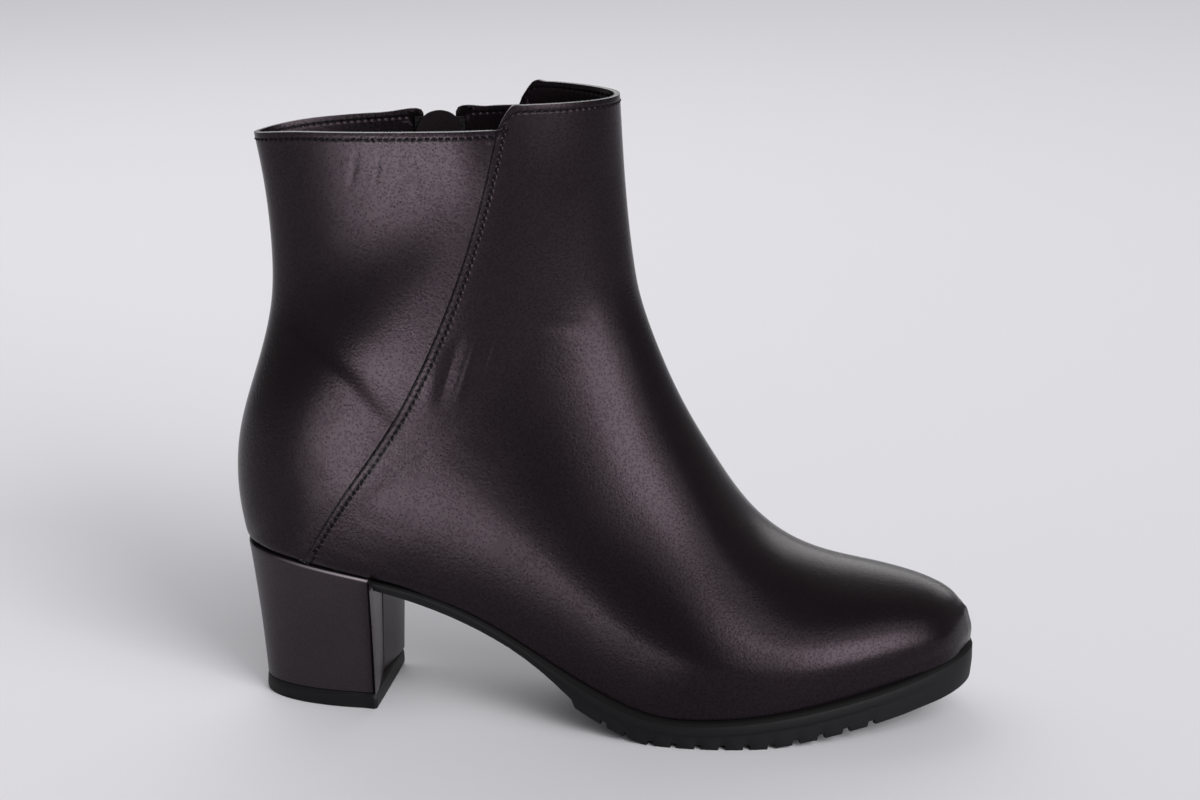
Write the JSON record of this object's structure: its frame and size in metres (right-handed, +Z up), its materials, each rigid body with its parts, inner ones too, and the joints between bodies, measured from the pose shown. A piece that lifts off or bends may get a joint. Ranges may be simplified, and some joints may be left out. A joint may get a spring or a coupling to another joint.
{
  "type": "ankle boot",
  "caption": "Right leather ankle boot with a block heel, raised front panel, lugged forefoot sole and an inner-side zip with a pull tab.",
  "frame": {"origin": "on the floor, below the middle of the boot's box", "axes": "+X from heel to toe, +Y towards the inner (medial) side, +Z up"},
  "size_m": [0.2579, 0.0944, 0.2134],
  "materials": {
    "upper_leather": "black smooth leather with a satin gloss",
    "sole_rubber": "matte black rubber",
    "heel_cover": "black leather cover, satin",
    "top_piece_rubber": "matte black rubber",
    "insole_lining": "dark lining leather",
    "zip_tape": "black woven tape",
    "zip_guard": "dark lining leather",
    "zip_coil": "black coil",
    "zip_metal": "dark gunmetal, satin"
  },
  "bodies": {
    "boot": {"upper": "upper_leather", "outsole": "sole_rubber", "heel_block": "heel_cover", "heel_top_piece": "top_piece_rubber", "insole": "insole_lining", "zip_tape": "zip_tape", "zip_guard": "zip_guard", "zip_chain": "zip_coil", "zip_slider": "zip_metal"},
    "pull_tab": {"zip_pull": "zip_metal"}
  },
  "joints": [
    {"name": "pull_tab_swing", "type": "hinge", "parent": "boot", "child": "pull_tab", "pos_m": [-0.06118, 0.03399, 0.19234], "axis": [0.9855, 0.1699, 0.0026], "range_deg": [0, 160]}
  ]
}
